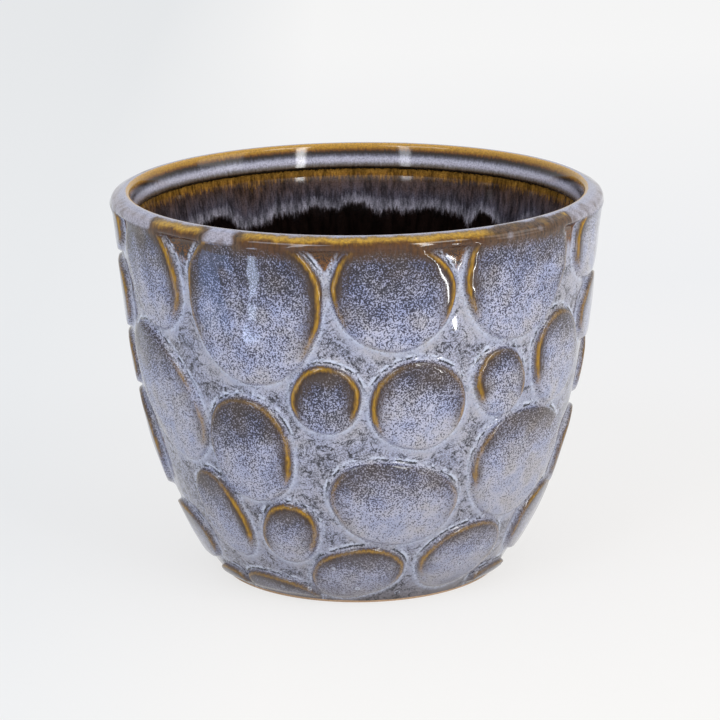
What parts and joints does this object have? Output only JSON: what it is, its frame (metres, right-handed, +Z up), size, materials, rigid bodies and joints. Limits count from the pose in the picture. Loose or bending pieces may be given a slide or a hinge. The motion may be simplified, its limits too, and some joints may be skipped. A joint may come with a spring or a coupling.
{
  "type": "cachepot",
  "caption": "Round stoneware cachepot with a raised pebble relief, thick rolled rim, inner lip and foot ring, glazed in mottled blue-grey and amber.",
  "frame": {"origin": "centre of the foot ring's resting face, on the surface that the pot stands on", "axes": "+Z up along the pot's axis, -Y towards the front as pictured, +X to its right"},
  "size_m": [0.16, 0.16, 0.127],
  "materials": {
    "glaze": "gloss"
  },
  "bodies": {
    "root": {"pot": "glaze"}
  },
  "joints": []
}
